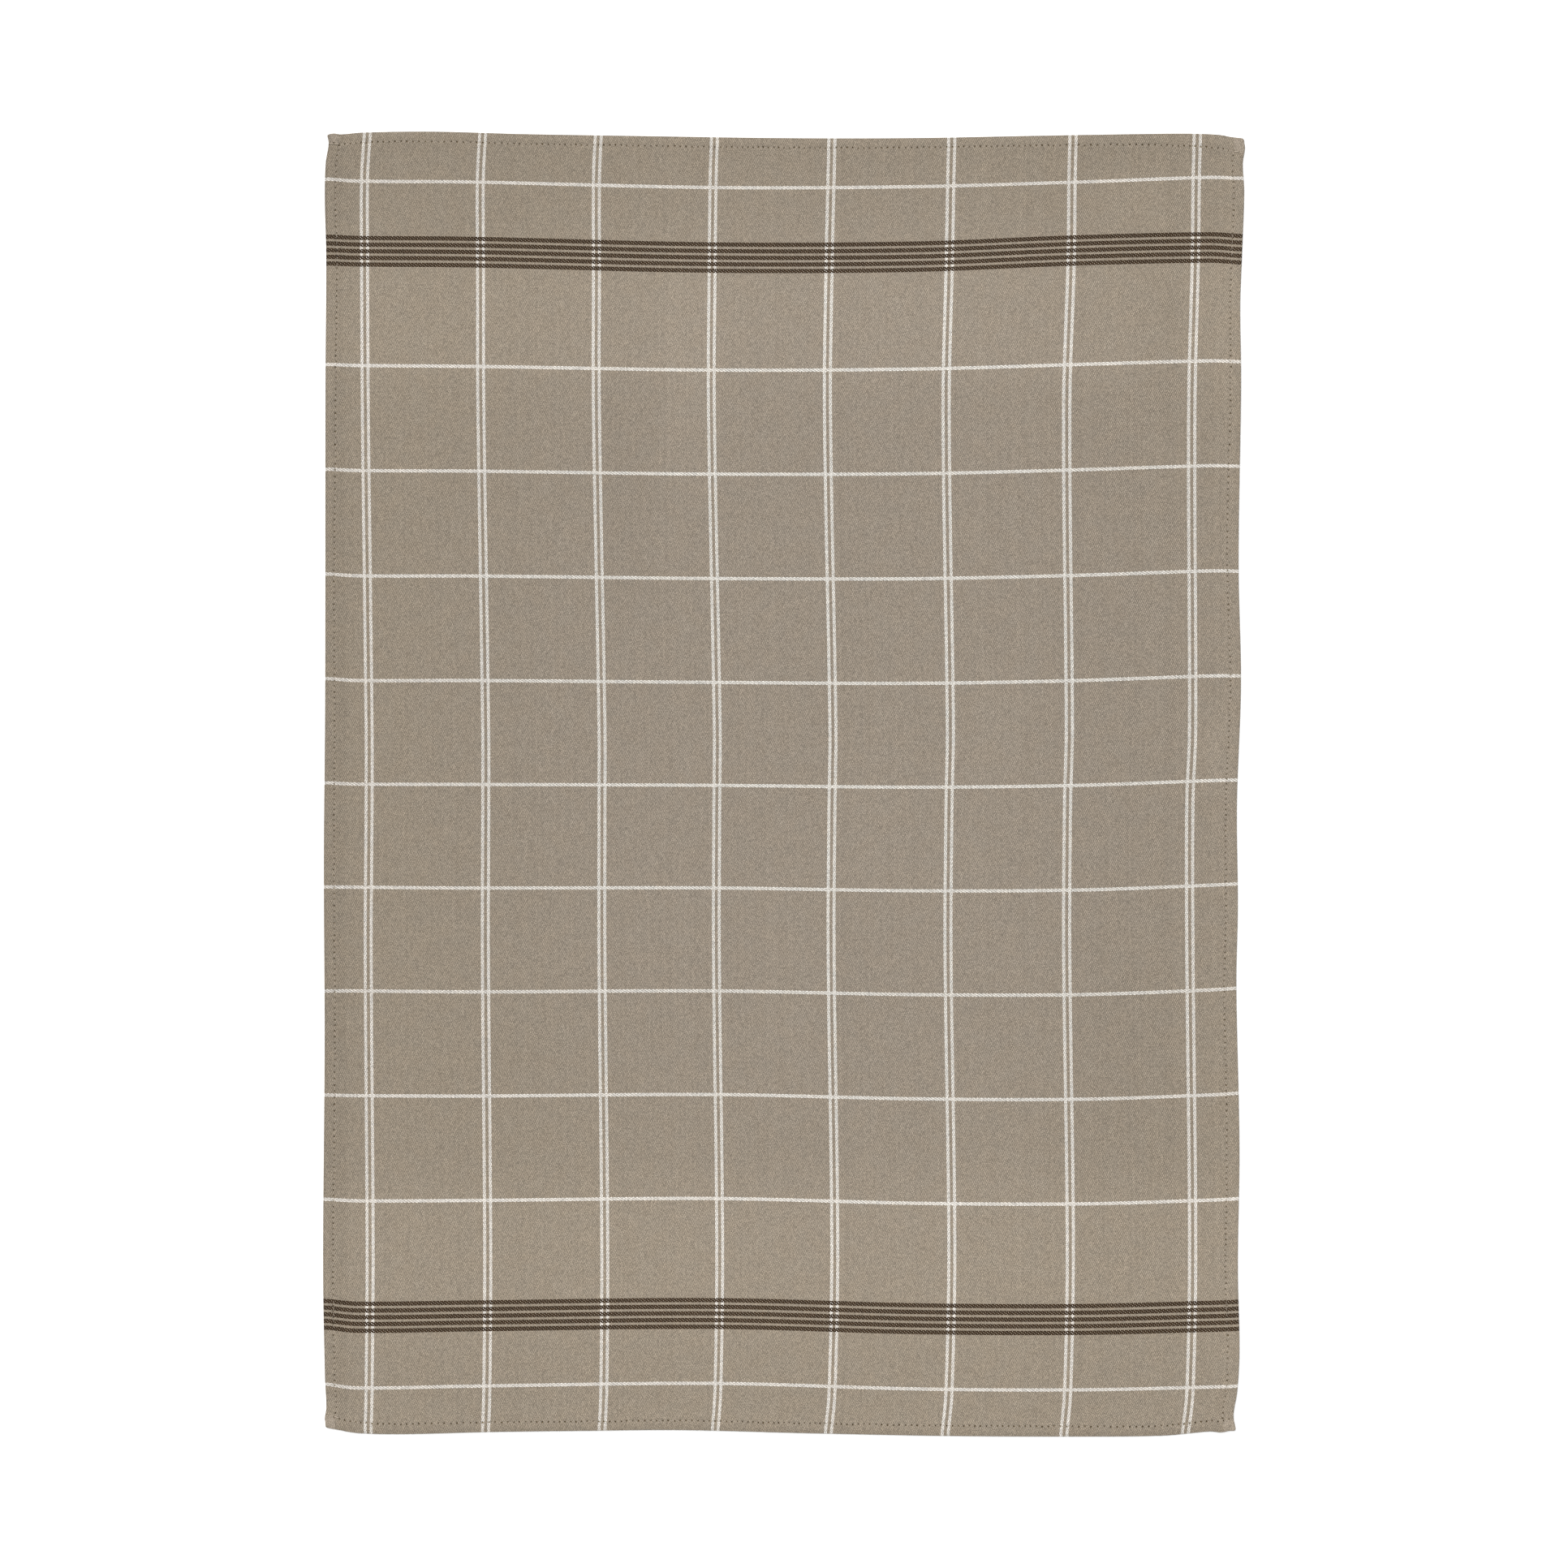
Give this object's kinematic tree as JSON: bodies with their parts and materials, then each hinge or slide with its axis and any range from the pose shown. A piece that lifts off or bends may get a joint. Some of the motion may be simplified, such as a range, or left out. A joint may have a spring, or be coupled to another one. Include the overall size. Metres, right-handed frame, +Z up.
{
  "type": "tea towel",
  "caption": "Flat woven cotton tea towel with a light check, dark cross stripes near both ends and a narrow stitched hem all round, lying face up.",
  "frame": {"origin": "under the middle of the towel, on the surface that it lies on", "axes": "+Z up through the cloth, +Y along the towel's length, +X across it"},
  "size_m": [0.5008, 0.7088, 0.0028],
  "materials": {
    "cloth": "matt cotton satin weave, beige with off-white and dark brown stripes"
  },
  "bodies": {
    "root": {"towel": "cloth"}
  },
  "joints": []
}
